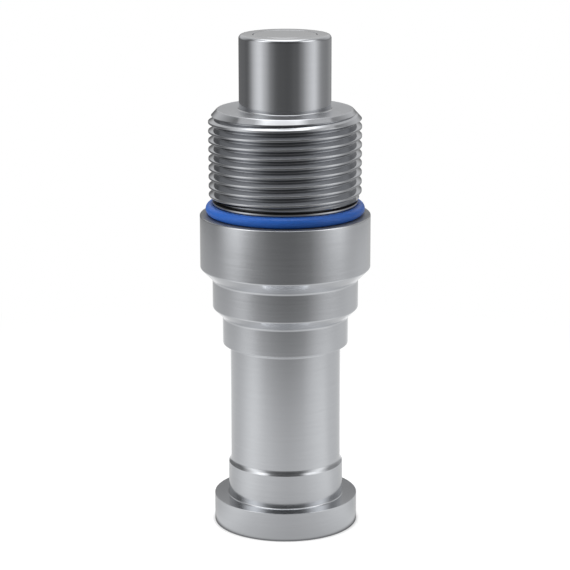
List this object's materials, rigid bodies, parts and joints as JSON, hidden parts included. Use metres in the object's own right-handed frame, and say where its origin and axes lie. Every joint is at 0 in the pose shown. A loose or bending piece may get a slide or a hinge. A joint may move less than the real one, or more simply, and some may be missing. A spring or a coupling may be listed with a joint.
{
  "type": "hydraulic quick coupling plug",
  "caption": "Flush-face, screw-to-connect hydraulic coupling plug: sprung poppet in a round nose, coarse coupling thread, blue dust ring, stepped body and split-flange head.",
  "frame": {"origin": "centre of the flange face, on the axis", "axes": "+Z along the axis from the flange face to the nose; X and Y are equal by symmetry"},
  "size_m": [0.056, 0.056, 0.1641],
  "materials": {
    "satin_steel": "plated, fine turning marks",
    "polished_steel": "plated, polished",
    "spring_steel": "drawn wire",
    "blue_ring": "satin",
    "seal_rubber": "satin",
    "backup_plastic": "matte"
  },
  "bodies": {
    "housing": {"flange_adaptor": "satin_steel", "nose_body": "polished_steel", "dust_ring": "blue_ring", "valve_spring": "spring_steel", "valve_guide": "satin_steel", "body_seal": "seal_rubber", "body_backup_ring": "backup_plastic"},
    "valve": {"poppet": "polished_steel", "poppet_seal": "seal_rubber", "poppet_backup_ring": "backup_plastic"}
  },
  "joints": [
    {"name": "valve_slide", "type": "slide", "parent": "housing", "child": "valve", "axis": [0, 0, -1], "range_m": [0, 0.02], "stiffness_N_per_m": 8000, "springref_m": -0.012, "deforming": ["valve_spring"]}
  ]
}
